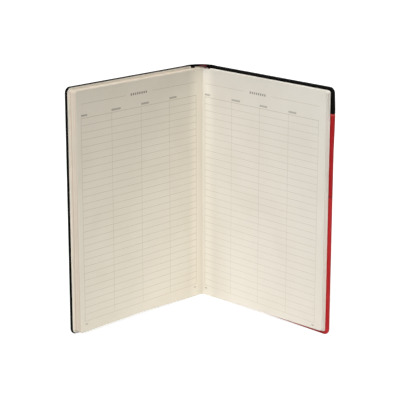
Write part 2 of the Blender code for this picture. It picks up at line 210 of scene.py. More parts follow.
# Leaves. TAIL_LIFTS raise their tails at TAIL_REACHES.
LEAF_LOW, LEAF_HIGH = closed_box("left_leaf", LEFT)
FOLD_DEPTH = LEAF_LOW.y
LEAF_FAR = LEAF_HIGH.y
LEAF_TAIL = LEAF_LOW.z
LEAF_HEAD = LEAF_HIGH.z
LEAF_CORNER = 2.2 * MM
LEAF_MIDDLE = 70.0 * MM
TAIL_REACHES = (0.0, FOLD_DEPTH, LEAF_MIDDLE, LEAF_FAR)
TAIL_LIFTS = {
    LEFT: (-3.1 * MM, -2.2 * MM, -0.2 * MM, -0.8 * MM),
    RIGHT: (-3.1 * MM, -2.4 * MM, -0.7 * MM, 1.1 * MM),
}
FOLD_STEPS = 12
FOLD_REACHES = evenly(0.0, FOLD_DEPTH, FOLD_STEPS)
LEAF_BEND = 26.0 * MM
LEAF_COUNT = 8
PAPER_SHARE = 0.97
SECTION_GAP = closed_box("signature_02", LEFT)[0].x - closed_box("signature_01", LEFT)[1].x
GAP_FILLED = 0.9
GUTTER = closed_box("right_leaf", RIGHT)[0].x - LEAF_HIGH.x
GUTTER_MEET = 3.0 * MM
# Width of the painted light at the gutter
GUTTER_PAINTED_LIGHT_WIDTH = 13.0 * MM
ENDPAPER_NEAR = 0.5 * MM

# Differences between leaves, in length and in the share of the edge colour. The share varies at random; on
# the right half every leaf takes at least its lower share, painted light that lifts the shaded fore edge.
TRIM_SPREAD = 0.04 * MM
EDGE_TONE_AND_LIGHT_SHARES = {LEFT: (0.08, 0.42), RIGHT: (0.3, 0.48)}
SECTION_TONE = 0.7
MOST_TONE = 0.5
PAGE_LAYER = 1.0

# Covers
COVER_LOW, COVER_HIGH = closed_box("front_wrap", LEFT)
COVER_NEAR = COVER_LOW.y
COVER_FAR = COVER_HIGH.y
COVER_TAIL = COVER_LOW.z
COVER_HEAD = COVER_HIGH.z
OUTER_FACE = -COVER_LOW.x
INNER_FACE = -COVER_HIGH.x
CORNER = 5.0 * MM
CORNER_ANGLES = evenly(0.0, pi / 2, steps=8)
CLOTH = 0.4 * MM
LIP = 0.35 * MM
TURN_IN = 12.0 * MM
EDGE_ROUND = 1.1 * MM
PANEL_ROW = 15.0 * MM
PANEL_ROWS = 9
CUT_PAST = 1.0 * MM
WINDOW_CORNER = 1.0 * MM
WINDOW_DEPTH = 1.2 * LIP

# Seam of the back cover's two cloths, and the line pressed into the red one
BAND_EDGE = closed_box("back_wrap_band", RIGHT)[0].z
PANEL_EDGE = closed_box("back_wrap_panel", RIGHT)[1].z
SEAM = (BAND_EDGE + PANEL_EDGE) / 2
SEAM_HALF_GAP = (BAND_EDGE - PANEL_EDGE) / 10
SEAM_TUCK = 0.22 * MM
SEAM_TUCK_HEIGHT = 0.4 * MM
SEAM_TUCK_SHARES = (0.0, 0.3, 0.6, 1.0)
SEAM_FLARE = 0.42 * MM
SEAM_FLARE_FROM = 133.0 * MM
SEAM_FLARE_HEIGHTS = {"band": 20.0 * MM, "panel": 40.0 * MM}
SEAM_ROWS_FROM = 2.0 * MM
BAND_SEAM_REACH = COVER_HEAD - CORNER - SEAM - 1.0 * MM
PANEL_SEAM_REACH = 30.0 * MM
SEAM_LINE = (SEAM - 1.5 * MM, SEAM - 0.5 * MM)
PRESSED_LINE = COVER_HEAD - 90.5 * MM
PRESSED_HALF = 0.6 * MM

# Spine and joints
SPINE_LOW, SPINE_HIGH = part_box("spine_wrap")
SPINE_POINTS = [vertex.co for vertex in frame["nodes"]["spine_wrap"].data.vertices]
SPINE_EDGE_Y = max(point.y for point in SPINE_POINTS if point.x > SPINE_HIGH.x - 0.01 * MM)
SPINE_RISE = SPINE_HIGH.y - SPINE_EDGE_Y
SPINE_RADIUS = (SPINE_HIGH.x**2 + SPINE_RISE**2) / (2 * SPINE_RISE)
SPINE_LEAN = asin(SPINE_HIGH.x / SPINE_RADIUS)
JOINT_CORNER = 2.0 * MM
JOINT_DEPTH = 0.95 * MM
JOINT_STEPS = 10
JOINT_SPLIT = 1.0 * MM
JOINT_WALL = 0.25 * MM
JOINT_WALL_CORNER = 0.05 * MM

# Elastic band. Its tab is a share of the way from a slot to its middle.
BAND_LOW, BAND_HIGH = closed_box("elastic_band", RIGHT)
BAND_THICKNESS = BAND_HIGH.x - BAND_LOW.x
BAND_WIDTH = BAND_HIGH.y - BAND_LOW.y
BAND_FILL = 0.92
BAND_STEP = 2.0 * MM
BAND_BEND = 0.9 * BAND_THICKNESS
BAND_SUNK = 0.45 * BAND_THICKNESS
BAND_TAB = 0.19
SLOT_PLAY = 0.3 * MM
STRIP_EDGE = 0.04
STRIP_EDGE_FULL = 0.55

# Headbands, thread and gauze on the back of the block
CORD_RADII = {"head": 0.45 * MM, "tail": 0.3 * MM}
CORD_INSET = 1.0 * MM
CORD_DROP = 0.6 * MM
CORD_LIFT = 0.1 * MM
CORD_WINDINGS = 24
CORD_SWELL = 0.1
CORD_TURN = radians(270)
CORD_SKIRT = 0.3 * MM
CORD_ROW = 0.3 * MM
BACK_WAVE = 0.05 * MM
STITCHES = range(1, 5)
STRAND_WIDTH = 0.3 * MM
STRAND_THICKNESS = 0.2 * MM
STRAND_PLACE = 0.22 * MM
STRAND_SWAY = 0.1 * MM
GAUZE_THICKNESS = 0.16 * MM

# Ribbon
ROOT_LOW, ROOT_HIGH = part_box("ribbon_root")
MARKER_LOW, MARKER_HIGH = closed_box("ribbon_marker", RIGHT)
RIBBON_WIDTH = ROOT_HIGH.x - ROOT_LOW.x
RIBBON_THICKNESS = MARKER_HIGH.x - MARKER_LOW.x
RIBBON_FILL = 0.8
RIBBON_MIDDLE = (ROOT_LOW.x + ROOT_HIGH.x) / 2
RIBBON_ACROSS = (MARKER_LOW.x + MARKER_HIGH.x) / 2
RIBBON_REACH = (MARKER_LOW.y + MARKER_HIGH.y) / 2
RIBBON_LOOP = 0.3 * MM
RIBBON_BEND = 1.4 * MM
RIBBON_TURN = radians(120)
RIBBON_HANDLE = 0.8 * MM
RIBBON_ENTERS = 2.8 * MM
RIBBON_SLANT = 30.0 * MM
RIBBON_GATHER = 0.42
RIBBON_CUT = 3.0 * MM

# Printed table, in distances from the left and head edges of a page
PAGE_SPAN = 149.6 * MM
PRINT_DROP = {LEFT: 0.0, RIGHT: 2.2 * MM}
COLUMNS = 4
COLUMN = 34.05 * MM
ROWS = 29
ROW = 5.946 * MM
TABLE_LEFT = 5.2 * MM
TABLE_RIGHT = TABLE_LEFT + COLUMNS * COLUMN
TABLE_TOP = 22.9 * MM
TABLE_BOTTOM = TABLE_TOP + ROWS * ROW
RULE = 0.28 * MM
TOP_RULE = 1.4 * RULE
TOP_RULE_INK = 0.5
HEADING = 11.1 * MM
HEADING_RULES = ((5.6 * MM, 55.4 * MM), (86.8 * MM, 142.1 * MM))
TITLE = (61.3 * MM, 80.8 * MM)
TITLE_HEIGHT = 1.9 * MM
TITLE_PITCH = 2.5 * MM
TITLE_BAR = 1.5 * MM
COLUMN_HEADS = 20.7 * MM
COLUMN_HEAD_HEIGHT = 1.6 * MM
COLUMN_HEAD_WIDTHS = (6.7 * MM, 10.5 * MM, 9.0 * MM, 9.0 * MM)
LETTER_PITCH = 1.15 * MM
LETTER_BAR = 0.75 * MM
NUMBERS = 198.0 * MM
NUMBER_HEIGHT = 1.4 * MM
NUMBER_WIDTH = 3.2 * MM
NUMBER_INK = 0.6
INK = {LEFT: 0.95, RIGHT: 0.8}

# Sockets of a colour's Mix node
MIX_FACTOR = 0
MIX_FIRST = 6
MIX_SECOND = 7
MIX_RESULT = 2


class Field:
    """A value on a node socket. Arithmetic with it adds Math nodes."""

    def __init__(self, tree, socket):
        self.tree = tree
        self.socket = socket

    def math(self, operation, *others):
        inputs = dict(enumerate((self, *others)))
        return add_node(self.tree, "Math", inputs, 0, operation=operation)

    __add__ = partialmethod(math, "ADD")
    __sub__ = partialmethod(math, "SUBTRACT")
    __mul__ = partialmethod(math, "MULTIPLY")
    __mod__ = partialmethod(math, "FLOORED_MODULO")
    larger = partialmethod(math, "MAXIMUM")
    below = partialmethod(math, "LESS_THAN")
    # around(middle, half) is 1 within half of the middle, 0 further away
    around = partialmethod(math, "COMPARE")

    def within(self, low, high):
        """1 between two limits, 0 outside them."""
        return self.around((low + high) / 2, (high - low) / 2)

    def wave(self, length):
        """0 to 1 and back over each length."""
        return (self * (2 * pi / length)).math("SINE") * 0.5 + 0.5

    def ramp(self, low, high, from_low=0.0, from_high=1.0):
        """A smooth step from low to high, over a range of this value."""
        inputs = {"Value": self, "From Min": from_low, "From Max": from_high, "To Min": low, "To Max": high}
        return add_node(self.tree, "MapRange", inputs, "Result", interpolation_type="SMOOTHSTEP")


def add_node(tree, kind, inputs, output, **settings):
    """An output of a new shader node, with its inputs linked to fields or set to values."""
    node = tree.nodes.new("ShaderNode" + kind)
    for name, value in settings.items():
        setattr(node, name, value)
    for key, value in inputs.items():
        if isinstance(value, Field):
            tree.links.new(value.socket, node.inputs[key])
        else:
            node.inputs[key].default_value = value
    return Field(tree, node.outputs[output])


def linear(rgb):
    """Scene-linear colour of an 8-bit display colour."""
    made = []
    for value in rgb:
        value = value / 255
        made.append(value / 12.92 if value <= 0.04045 else ((value + 0.055) / 1.055) ** 2.4)
    return (*made, 1.0)


class Look:
    """A procedural material: colour, roughness and relief from the same fields."""

    def __init__(self, name, slot, rgb, specular):
        self.slot = slot
        self.material = bpy.data.materials.new(name)
        self.material.use_nodes = True
        self.tree = self.material.node_tree
        self.shader = self.tree.nodes["Principled BSDF"]
        self.shader.inputs["Specular IOR Level"].default_value = specular
        self.shader.inputs["Base Color"].default_value = linear(rgb)
        self.colour = linear(rgb)

    def place(self):
        return add_node(self.tree, "TexCoord", {}, "Object")

    def sheet(self):
        """Coordinates along the sheet: length, width and layer, stored with the mesh."""
        return self.parts(add_node(self.tree, "Attribute", {}, "Vector", attribute_name="sheet"))

    def parts(self, vector):
        return [add_node(self.tree, "SeparateXYZ", {0: vector}, axis) for axis in "XYZ"]

    def noise(self, size, detail=3.0, stretch=(1.0, 1.0, 1.0)):
        """Cloudy field with features of this size."""
        place = add_node(self.tree, "Mapping", {"Vector": self.place(), "Scale": stretch}, "Vector")
        return add_node(self.tree, "TexNoise", {"Vector": place, "Scale": 1 / size, "Detail": detail}, "Fac")

    def cells(self, size):
        """Pebbled field with cells of this size."""
        inputs = {"Vector": self.place(), "Scale": 1 / size, "Smoothness": 0.6}
        return add_node(self.tree, "TexVoronoi", inputs, "Distance", feature="SMOOTH_F1")

    def tint(self, field, rgb):
        """Mixes the colour so far with another by a field."""
        inputs = {MIX_FACTOR: field, MIX_FIRST: self.colour, MIX_SECOND: linear(rgb)}
        self.colour = add_node(self.tree, "Mix", inputs, MIX_RESULT, data_type="RGBA")
        self.shade("Base Color", self.colour)

    def shade(self, name, field):
        """Leads a field to an input of the shader."""
        self.tree.links.new(field.socket, self.shader.inputs[name])

    def relief(self, height, depth, strength):
        inputs = {"Height": height, "Distance": depth, "Strength": strength}
        self.shade("Normal", add_node(self.tree, "Bump", inputs, "Normal"))


def paper(name, slot, rgb, shade, edge):
    """Uncoated paper: faint clouds, fibres and tooth, with some leaves nearer to an edge colour: a random
    tone on the left, and on the right a paler colour that is also painted light.
    """
    look = Look(name, slot, rgb, specular=0.2)
    layer = look.sheet()[2]
    look.tint(layer.ramp(0.0, 1.0, 0.0, MOST_TONE) * layer.below(MOST_TONE), edge)
    clouds = look.noise(PAPER_CLOUD)
    fibres = look.noise(PAPER_FIBRE, 4.0, (1.0, 1.0, 0.35))
    look.tint(clouds.ramp(0.0, 0.35, 0.35, 0.75), shade)
    look.tint(fibres.ramp(0.0, 0.22, 0.45, 0.75), shade)
    look.shade("Roughness", fibres.ramp(0.78, 0.93))
    look.relief(fibres, PAPER_TOOTH, 0.35)
    return look


def page_lines(u, v):
    """1 on the lines of the table and beside its title, and more on its top line."""
    in_width = u.within(TABLE_LEFT - RULE / 2, TABLE_RIGHT + RULE / 2)
    in_height = v.within(TABLE_TOP - RULE / 2, TABLE_BOTTOM + RULE / 2)
    rows = ((v - TABLE_TOP + RULE / 2) % ROW).below(RULE)
    columns = ((u - TABLE_LEFT + RULE / 2) % COLUMN).below(RULE)
    table = rows.larger(columns) * in_width * in_height
    top = v.around(TABLE_TOP, TOP_RULE / 2) * in_width
    beside_title = u.within(*HEADING_RULES[0]) + u.within(*HEADING_RULES[1])
    return table + top * TOP_RULE_INK + v.around(HEADING, RULE / 2) * beside_title


def page_words(u, v):
    """1 on bars in the places of title and column heads, and on those of page numbers."""
    title = v.around(HEADING, TITLE_HEIGHT / 2) * u.within(*TITLE)
    title *= ((u - TITLE[0]) % TITLE_PITCH).below(TITLE_BAR)
    heads = u.within(TABLE_LEFT, TABLE_LEFT + COLUMN_HEAD_WIDTHS[0])
    for i in range(1, COLUMNS):
        start = TABLE_LEFT + i * COLUMN
        heads += u.within(start, start + COLUMN_HEAD_WIDTHS[i])
    heads *= v.around(COLUMN_HEADS, COLUMN_HEAD_HEIGHT / 2)
    numbers = u.within(TABLE_LEFT, TABLE_LEFT + NUMBER_WIDTH)
    numbers += u.within(TABLE_RIGHT - NUMBER_WIDTH, TABLE_RIGHT)
    numbers *= v.around(NUMBERS, NUMBER_HEIGHT / 2)
    letters = (u % LETTER_PITCH).below(LETTER_BAR)
    return title + heads * letters, numbers * letters


def printed_paper(side):
    """Page paper, painted lighter at the gutter against the shade of the fold, with a ruled table and bars in
    the places of words.
    """
    look = paper(LEAVES[side] + "_print", "ivory_paper", *PAGE_RGBS[side])
    u, v, layer = look.sheet()
    page = layer.around(PAGE_LAYER, PAGE_LAYER - MOST_TONE)
    root = LEAF_FAR if side == LEFT else PAGE_SPAN - LEAF_FAR
    words, numbers = page_words(u, v)
    # Painted light: the page lightens over the last stretch before the gutter, against the fold's shade.
    look.tint(u.ramp(0.0, 0.75, root + side * GUTTER_PAINTED_LIGHT_WIDTH, root) * page, GUTTER_PAINTED_LIGHT_RGB)
    look.tint(page_lines(u, v) * page * INK[side], RULE_RGB)
    look.tint(words * page * INK[side], WORD_RGB)
    look.tint(numbers * page * NUMBER_INK, WORD_RGB)
    return look


def cover_cloth(name, rgb, worn, specular):
    """Grained cover cloth: pebbles in fine creases, rubbed a little lighter in places."""
    look = Look(name, name, rgb, specular)
    pebbles = look.cells(CLOTH_PEBBLE)
    creases = look.noise(CLOTH_CREASE, 4.0)
    rubbed = look.noise(CLOTH_RUB, 5.0)
    look.tint(rubbed.ramp(0.0, 0.45, 0.5, 0.78), worn)
    look.tint(pebbles.ramp(0.0, 0.25, 0.15, 0.6), worn)
    look.shade("Roughness", (rubbed + creases).ramp(0.42, 0.62, 0.6, 1.4))
    look.relief(pebbles + creases * 0.45, CLOTH_GRAIN, 0.5)
    return look


def red_cover_cloth():
    """Red cloth, deeper above a pressed line, with a pale edge under the black band."""
    look = cover_cloth("red_cover_cloth", *RED_CLOTH)
    height = look.parts(look.place())[2]
    look.tint(height.within(PRESSED_LINE, SEAM) * 0.7, RED_UPPER_RGB)
    look.tint(height.within(*SEAM_LINE) * 0.7, SEAM_RGB)
    look.tint(height.around(PRESSED_LINE, PRESSED_HALF) * 0.8, PRESSED_RGB)
    return look


def build_boards():
    """Grey board on the CAD nodes that stay in view."""
    look = Look("grey_board", "grey_board", BOARD_RGB, specular=0.2)
    flecks = look.noise(BOARD_FLECK, 5.0)
    look.tint(flecks.ramp(0.0, 0.7, 0.5, 0.75), BOARD_FLECK_RGB)
    look.shade("Roughness", flecks.ramp(0.82, 0.96))
    look.relief(flecks, BOARD_GRAIN, 0.6)
    for node in ("front_board", "back_board", "spine_board"):
        materials = frame["nodes"][node].data.materials
        materials.clear()
        materials.append(look.material)


def woven(name):
    """Plain weave of one of the woven pieces, with some slubs in it."""
    rgb, dark, length, width, specular = WEAVES[name]
    look = Look(name, name, rgb, specular)
    u, v, _ = look.sheet()
    threads = u.wave(length) * v.wave(width)
    threads += (u.wave(length) - 1.0) * (v.wave(width) - 1.0)
    slubs = look.noise(WEAVE_SLUB, 4.0)
    look.tint(threads.ramp(0.55, 0.0, 0.05, 0.6), dark)
    look.tint(slubs.ramp(0.0, 0.35, 0.5, 0.8), dark)
    look.shade("Roughness", slubs.ramp(0.45, 0.8))
    look.relief(threads, WEAVE_DEPTH, 0.7)
    return look


class Shape:
    """Points and faces of one piece, gathered from closed lofts."""

    def __init__(self):
        self.points = []
        self.faces = []
        self.sheet = []

    def loft(self, rings, sheet=None):
        """Adds a closed body through rings of points, with sheet coordinates."""
        start = len(self.points)
        size = len(rings[0])
        for i, ring in enumerate(rings):
            self.points.extend(ring)
            self.sheet.extend(sheet[i] if sheet else [(0.0, 0.0, 0.0)] * size)
        for row in range(len(rings) - 1):
            low = start + row * size
            for i in range(size):
                j = (i + 1) % size
                self.faces.append((low + i, low + j, low + size + j, low + size + i))
        last = start + (len(rings) - 1) * size
        self.faces.append(tuple(range(start + size - 1, start - 1, -1)))
        self.faces.append(tuple(range(last, last + size)))


def lofted(rings, sheet=None):
    """A shape of one loft."""
    shape = Shape()
    shape.loft(rings, sheet)
    return shape


def added(name, data):
    """A new object in the scene."""
    obj = bpy.data.objects.new(name, data)
    bpy.context.scene.collection.objects.link(obj)
    return obj


def solid_mesh(name, shape):
    """A mesh of one shape, with its faces turned outwards."""
    mesh = bpy.data.meshes.new(name)
    mesh.from_pydata(shape.points, [], shape.faces)
    bm = bmesh.new()
    bm.from_mesh(mesh)
    bmesh.ops.recalc_face_normals(bm, faces=bm.faces)
    bm.to_mesh(mesh)
    bm.free()
    return mesh


def piece(name, shape, look, *nodes, crease=40):
    """An object in the place of CAD nodes, shaded smooth up to the crease angle."""
    mesh = solid_mesh(name, shape)
    attribute = mesh.attributes.new("sheet", "FLOAT_VECTOR", "POINT")
    attribute.data.foreach_set("vector", np.array(shape.sheet, np.float32).ravel())
    mesh.polygons.foreach_set("use_smooth", [True] * len(mesh.polygons))
    mesh.set_sharp_from_angle(angle=radians(crease))
    mesh.materials.append(look.material)
    obj = added(name, mesh)
    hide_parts(*nodes)
    return obj


def carve(obj, cutters):
    """Takes the cutters away from an object for good."""
    tools = []
    for i, shape in enumerate(cutters):
        tool = added(f"cutter_{i}", solid_mesh(f"cutter_{i}", shape))
        modifier = obj.modifiers.new(tool.name, "BOOLEAN")
        modifier.operation = "DIFFERENCE"
        modifier.solver = "EXACT"
        modifier.object = tool
        tools.append(tool)
    graph = bpy.context.evaluated_depsgraph_get()
    carved = bpy.data.meshes.new_from_object(obj.evaluated_get(graph))
    obj.modifiers.clear()
    obj.data = carved
    for tool in tools:
        bpy.data.objects.remove(tool, do_unlink=True)


def corner_loss(past, radius):
    """What a rounded corner takes off a sheet's height, this far past its start."""
    past = min(max(past, 0.0), radius)
    return radius - sqrt(radius**2 - past**2)


def corner_reaches(far, radius):
    """Reaches over a rounded corner, closest at the fore edge."""
    return [far - radius + radius * sin(a) for a in CORNER_ANGLES]


def on_leaf(point, side):
    """Where a point of a leaf lies in the open notebook, with a straight slant in its fold."""
    across, reach, height = point
    if reach <= 0:
        return placed(point, side, 0.0)
    if reach >= FOLD_DEPTH:
        return placed(point, side)
    root = placed((across, 0.0, height), side, 0.0)
    return root.lerp(placed((across, FOLD_DEPTH, height), side), reach / FOLD_DEPTH)


def leaf_tail(reach, side):
    """Height of the leaves' tail edge: the block sags at the spine."""
    return LEAF_TAIL + float(np.interp(reach, TAIL_REACHES, TAIL_LIFTS[side]))


def leaf_ring(low, high, reach, side, far=inf):
    """Section of a leaf at one reach, with round corners at its far edge."""
    loss = corner_loss(reach - far + LEAF_CORNER, LEAF_CORNER)
    tail = leaf_tail(reach, side) + loss
    head = LEAF_HEAD - loss
    corners = ((low, tail), (high, tail), (high, head), (low, head))
    return [on_leaf((across, reach, height), side) for across, height in corners]


def printed(rings, side):
    """Sheet coordinates of a page: length from its left edge, drop from its head, and layer."""
    face = 1 if side == LEFT else 0
    lengths = [0.0]
    for outer, inner in zip(rings[::-1], rings[-2::-1]):
        step = (outer[face].xy - inner[face].xy).length
        lengths.append(lengths[-1] + step)
    made = []
    for ring, length in zip(rings, lengths[::-1]):
        u = length if side == LEFT else PAGE_SPAN - length
        made.append([(u, LEAF_HEAD - point.z - PRINT_DROP[side], PAGE_LAYER) for point in ring])
    return made


def fold_blend(obj):
    """Bakes a piece's place into its mesh."""
    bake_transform(obj)


def add_leaves(shape, low, high, side, at_opening, spread):
    """Adds the leaves of one signature. The top one at the opening is a printed page."""
    pitch = (high - low + SECTION_GAP * GAP_FILLED) / LEAF_COUNT
    top = LEAF_COUNT - 1 if side == LEFT else 0
    # Shares of the edge colour: random, and on the right half painted light as well.
    low_tone, high_tone = EDGE_TONE_AND_LIGHT_SHARES[side]
    shared_tone = spread.random() * SECTION_TONE
    for i in range(LEAF_COUNT):
        far = LEAF_FAR - spread.random() * TRIM_SPREAD
        own_tone = spread.random() * (1 - SECTION_TONE)
        tone = low_tone + (high_tone - low_tone) * (shared_tone + own_tone)
        base = low + pitch * i
        reaches = FOLD_REACHES + [LEAF_MIDDLE] + corner_reaches(far, LEAF_CORNER)
        rings = [leaf_ring(base, base + pitch * PAPER_SHARE, reach, side, far) for reach in reaches]
        if at_opening and i == top:
            shape.loft(rings, printed(rings, side))
        else:
            shape.loft(rings, [[(0.0, 0.0, tone)] * len(ring) for ring in rings])


def add_leaf_root(shape, side):
    """Adds the root of a leaf at the opening. The two roots meet at the sewn edge."""
    low, high = closed_box(LEAVES[side], side)
    rings = []
    for reach in FOLD_REACHES + [LEAF_FAR]:
        shift = -side * GUTTER / 2 * (1 - eased(reach / GUTTER_MEET))
        rings.append(leaf_ring(low.x + shift, high.x + shift, reach, side))
    shape.loft(rings[:-1], printed(rings, side)[:-1])


def build_signatures(plain_looks, print_looks):
    """Each signature as its leaves, bent at the back, with printed pages at the opening."""
    spread = random.Random(7)
    for side, numbers in SIGNATURES.items():
        opening = numbers[-1] if side == LEFT else numbers[0]
        for number in numbers:
            node = f"signature_{number:02d}"
            low, high = closed_box(node, side)
            shape = Shape()
            add_leaves(shape, low.x, high.x, side, number == opening, spread)
            look = plain_looks[side]
            if number == opening:
                add_leaf_root(shape, side)
                look = print_looks[side]
            obj = piece(node + "_leaves", shape, look, node, node + "_fold")
            fold_blend(obj)


def build_open_leaves(print_looks):
    """The two leaves at the opening, with rings set close near their root."""
    for side, node in LEAVES.items():
        low, high = closed_box(node, side)
        bend = evenly(FOLD_DEPTH, FOLD_DEPTH + LEAF_BEND, FOLD_STEPS)
        reaches = bend + [LEAF_MIDDLE] + corner_reaches(LEAF_FAR, LEAF_CORNER)
        rings = [leaf_ring(low.x, high.x, reach, side, LEAF_FAR) for reach in reaches]
        obj = piece(node + "_page", lofted(rings, printed(rings, side)), print_looks[side], node)
        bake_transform(obj)


def endpaper_path(fly, paste, margin, far, side):
    """Stations of an endpaper: across, reach, tail, head, and how far it is turned over."""
    path = []
    for reach in corner_reaches(LEAF_FAR, LEAF_CORNER)[::-1] + [LEAF_MIDDLE, FOLD_DEPTH, ENDPAPER_NEAR]:
        loss = corner_loss(reach - LEAF_FAR + LEAF_CORNER, LEAF_CORNER)
        path.append((fly, reach, leaf_tail(reach, side) + loss, LEAF_HEAD - loss, 0.0))
    paste_tail = COVER_TAIL + margin
    paste_head = COVER_HEAD - margin
    for t in evenly(0.0, 1.0, FOLD_STEPS)[1:-1]:
        turn = pi * t
        across = (fly + paste) / 2 + (fly - paste) / 2 * cos(turn)
        reach = ENDPAPER_NEAR - abs(fly - paste) / 2 * sin(turn)
        tail = leaf_tail(ENDPAPER_NEAR, side) * (1 - t) + paste_tail * t
        head = LEAF_HEAD * (1 - t) + paste_head * t
        path.append((across, reach, tail, head, turn))
    radius = CORNER - margin
    for reach in [ENDPAPER_NEAR, FOLD_DEPTH] + corner_reaches(far, radius):
        loss = corner_loss(reach - far + radius, radius)
        path.append((paste, reach, paste_tail + loss, paste_head - loss, pi))
    return path


def build_endpapers(look):
    """Each endpaper as one sheet: flyleaf, fold in the joint, and pastedown on the cover."""
    for side, name in NAMES.items():
        fly_low, fly_high = closed_box(name + "_flyleaf", side)
        paste_low, paste_high = closed_box(name + "_pastedown", side)
        fly = (fly_low.x + fly_high.x) / 2
        paste = (paste_low.x + paste_high.x) / 2
        half = (fly_high.x - fly_low.x) * PAPER_SHARE / 2
        margin = paste_low.z - COVER_TAIL
        rings = []
        for across, reach, tail, head, turn in endpaper_path(fly, paste, margin, paste_high.y, side):
            dx = side * half * cos(turn)
            dy = half * sin(turn)
            corners = ((-1, tail), (1, tail), (1, head), (-1, head))
            rings.append([placed((across + k * dx, reach + k * dy, height), side) for k, height in corners])
        obj = piece(name + "_endpaper", lofted(rings), look, name + "_flyleaf", name + "_pastedown")
        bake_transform(obj)


def cover_reach(inset, height):
    """Reach of the cover's outline, drawn in by an inset, at one height."""
    radius = CORNER - inset
    past = max(height - COVER_HEAD + CORNER, COVER_TAIL + CORNER - height, 0.0)
    return COVER_FAR - CORNER + sqrt(max(radius**2 - past**2, 0.0))


def cover_ring(side, height, tuck=0.0, flare=0.0):
    """Section of the cover cloth at one height: outer face, rounded fore edge, inner face."""
    to_edge = min(height - COVER_TAIL, COVER_HEAD - height)
    first = asin(1 - min(to_edge / EDGE_ROUND, 1.0))
    outer = []
    inner = []
    for a in evenly(first, pi / 2, steps=6):
        reach = cover_reach(EDGE_ROUND * (1 - sin(a)), height) - tuck
        depth = EDGE_ROUND * (1 - cos(a)) + tuck
        outer.append((OUTER_FACE - depth + flare, reach + flare))
        inner.append((INNER_FACE + depth, reach + flare * sin(a)))
    depth = EDGE_ROUND * (1 - cos(first)) + tuck
    flat = min(SEAM_FLARE_FROM, inner[0][1])
    ring = [(OUTER_FACE - depth, COVER_NEAR), (OUTER_FACE - depth, flat)] + outer
    ring += inner[::-1] + [(INNER_FACE + depth, COVER_NEAR)]
    return [placed((side * across, reach, height), side) for across, reach in ring]


def edge_heights(edge, way):
    """Heights from a rounded edge of the cover inwards."""
    return [edge + way * CORNER * (1 - cos(a)) for a in CORNER_ANGLES]


def seam_heights(edge, way, reach):
    """Heights from the seam outwards, close together in the tuck."""
    away = [SEAM_TUCK_HEIGHT * share for share in SEAM_TUCK_SHARES]
    away += evenly(SEAM_ROWS_FROM, reach, steps=8)
    return [edge + way * step for step in away]


def prism(outline, low, high, side):
    """A solid with an outline (reach, height), between two distances from the book's middle."""
    rings = []
    for across in (low, high):
        rings.append([placed((side * across, reach, height), side) for reach, height in outline])
    return lofted(rings)


def slab(inset, radius, low, high, side):
    """A slab as large as a cover less an inset, with rounded corners at the fore edge."""
    far = COVER_FAR - inset - radius
    tail = COVER_TAIL + inset + radius
    head = COVER_HEAD - inset - radius
    outline = [(0.0, COVER_TAIL + inset)]
    outline += [(far + radius * sin(a), tail - radius * cos(a)) for a in CORNER_ANGLES]
    outline += [(far + radius * cos(a), head + radius * sin(a)) for a in CORNER_ANGLES]
    outline.append((0.0, COVER_HEAD - inset))
    return prism(outline, low, high, side)


def cover_hollow(side):
    """Room for the board inside the cloth, and the window between the turned-in lips."""
    pocket = slab(CLOTH, CORNER - CLOTH, INNER_FACE + LIP, OUTER_FACE - CLOTH, side)
    window = slab(TURN_IN, WINDOW_CORNER, INNER_FACE - CUT_PAST, INNER_FACE + WINDOW_DEPTH, side)
    return [pocket, window]


def band_slot(node):
    """The slot in the back cover that an end of the elastic goes through."""
    low, high = closed_box(node, RIGHT)
    at_head = low.z > BAND_HIGH.z
    edge = high.z if at_head else low.z
    way = -1 if at_head else 1
    bottom, top = sorted((edge - way * SLOT_PLAY, edge + way * (BAND_THICKNESS + SLOT_PLAY)))
    near = low.y - SLOT_PLAY
    far = high.y + SLOT_PLAY
    outline = ((near, bottom), (far, bottom), (far, top), (near, top))
    return prism(outline, INNER_FACE - CUT_PAST, OUTER_FACE + CUT_PAST, RIGHT)


def build_front_cover(black):
    """Cloth drawn round the front board and turned in at the edges."""
    middle = evenly(COVER_TAIL + CORNER, COVER_HEAD - CORNER, steps=8)[1:-1]
    heights = edge_heights(COVER_TAIL, 1) + middle + edge_heights(COVER_HEAD, -1)[::-1]
    shape = lofted([cover_ring(LEFT, height) for height in heights])
    obj = piece("front_cover_cloth", shape, black, "front_wrap")
    carve(obj, cover_hollow(LEFT))
    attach(obj, COVERS[LEFT])


def build_back_cover(black, red):
    """Two cloths drawn round the back board, tucked in and a little flared at their seam."""
    band = seam_heights(SEAM + SEAM_HALF_GAP, 1, BAND_SEAM_REACH) + edge_heights(COVER_HEAD, -1)[::-1]
    panel = edge_heights(COVER_TAIL, 1)
    panel += [COVER_TAIL + CORNER + PANEL_ROW * i for i in range(1, PANEL_ROWS + 1)]
    panel += seam_heights(SEAM - SEAM_HALF_GAP, -1, PANEL_SEAM_REACH)[::-1]
    for name, heights, look, end in (
        ("band", band, black, "elastic_head_end"),
        ("panel", panel, red, "elastic_tail_end"),
    ):
        rings = []
        for height in heights:
            away = abs(height - SEAM)
            tuck = SEAM_TUCK * (1 - eased(away / SEAM_TUCK_HEIGHT))
            flare = SEAM_FLARE * (1 - eased(away / SEAM_FLARE_HEIGHTS[name]))
            rings.append(cover_ring(RIGHT, height, tuck, flare))
        obj = piece(f"back_cover_{name}_cloth", lofted(rings), look, "back_wrap_" + name)
        carve(obj, cover_hollow(RIGHT) + [band_slot(end)])
        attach(obj, COVERS[RIGHT])


def turned_in_section(depth):
    """Section (depth, height) of cloth that is turned in over the head and tail edges."""
    r = CLOTH
    arc = evenly(0.0, pi / 2, steps=4)
    half = [(r - r * cos(a), r - r * sin(a)) for a in arc]
    half += [(depth - r + r * sin(a), r - r * cos(a)) for a in arc]
    half += [(depth, TURN_IN), (depth - LIP, TURN_IN), (depth - LIP, CLOTH), (CLOTH, CLOTH)]
    head = [(across, COVER_HEAD - drop) for across, drop in half]
    return head + [(across, COVER_TAIL + drop) for across, drop in half[::-1]]


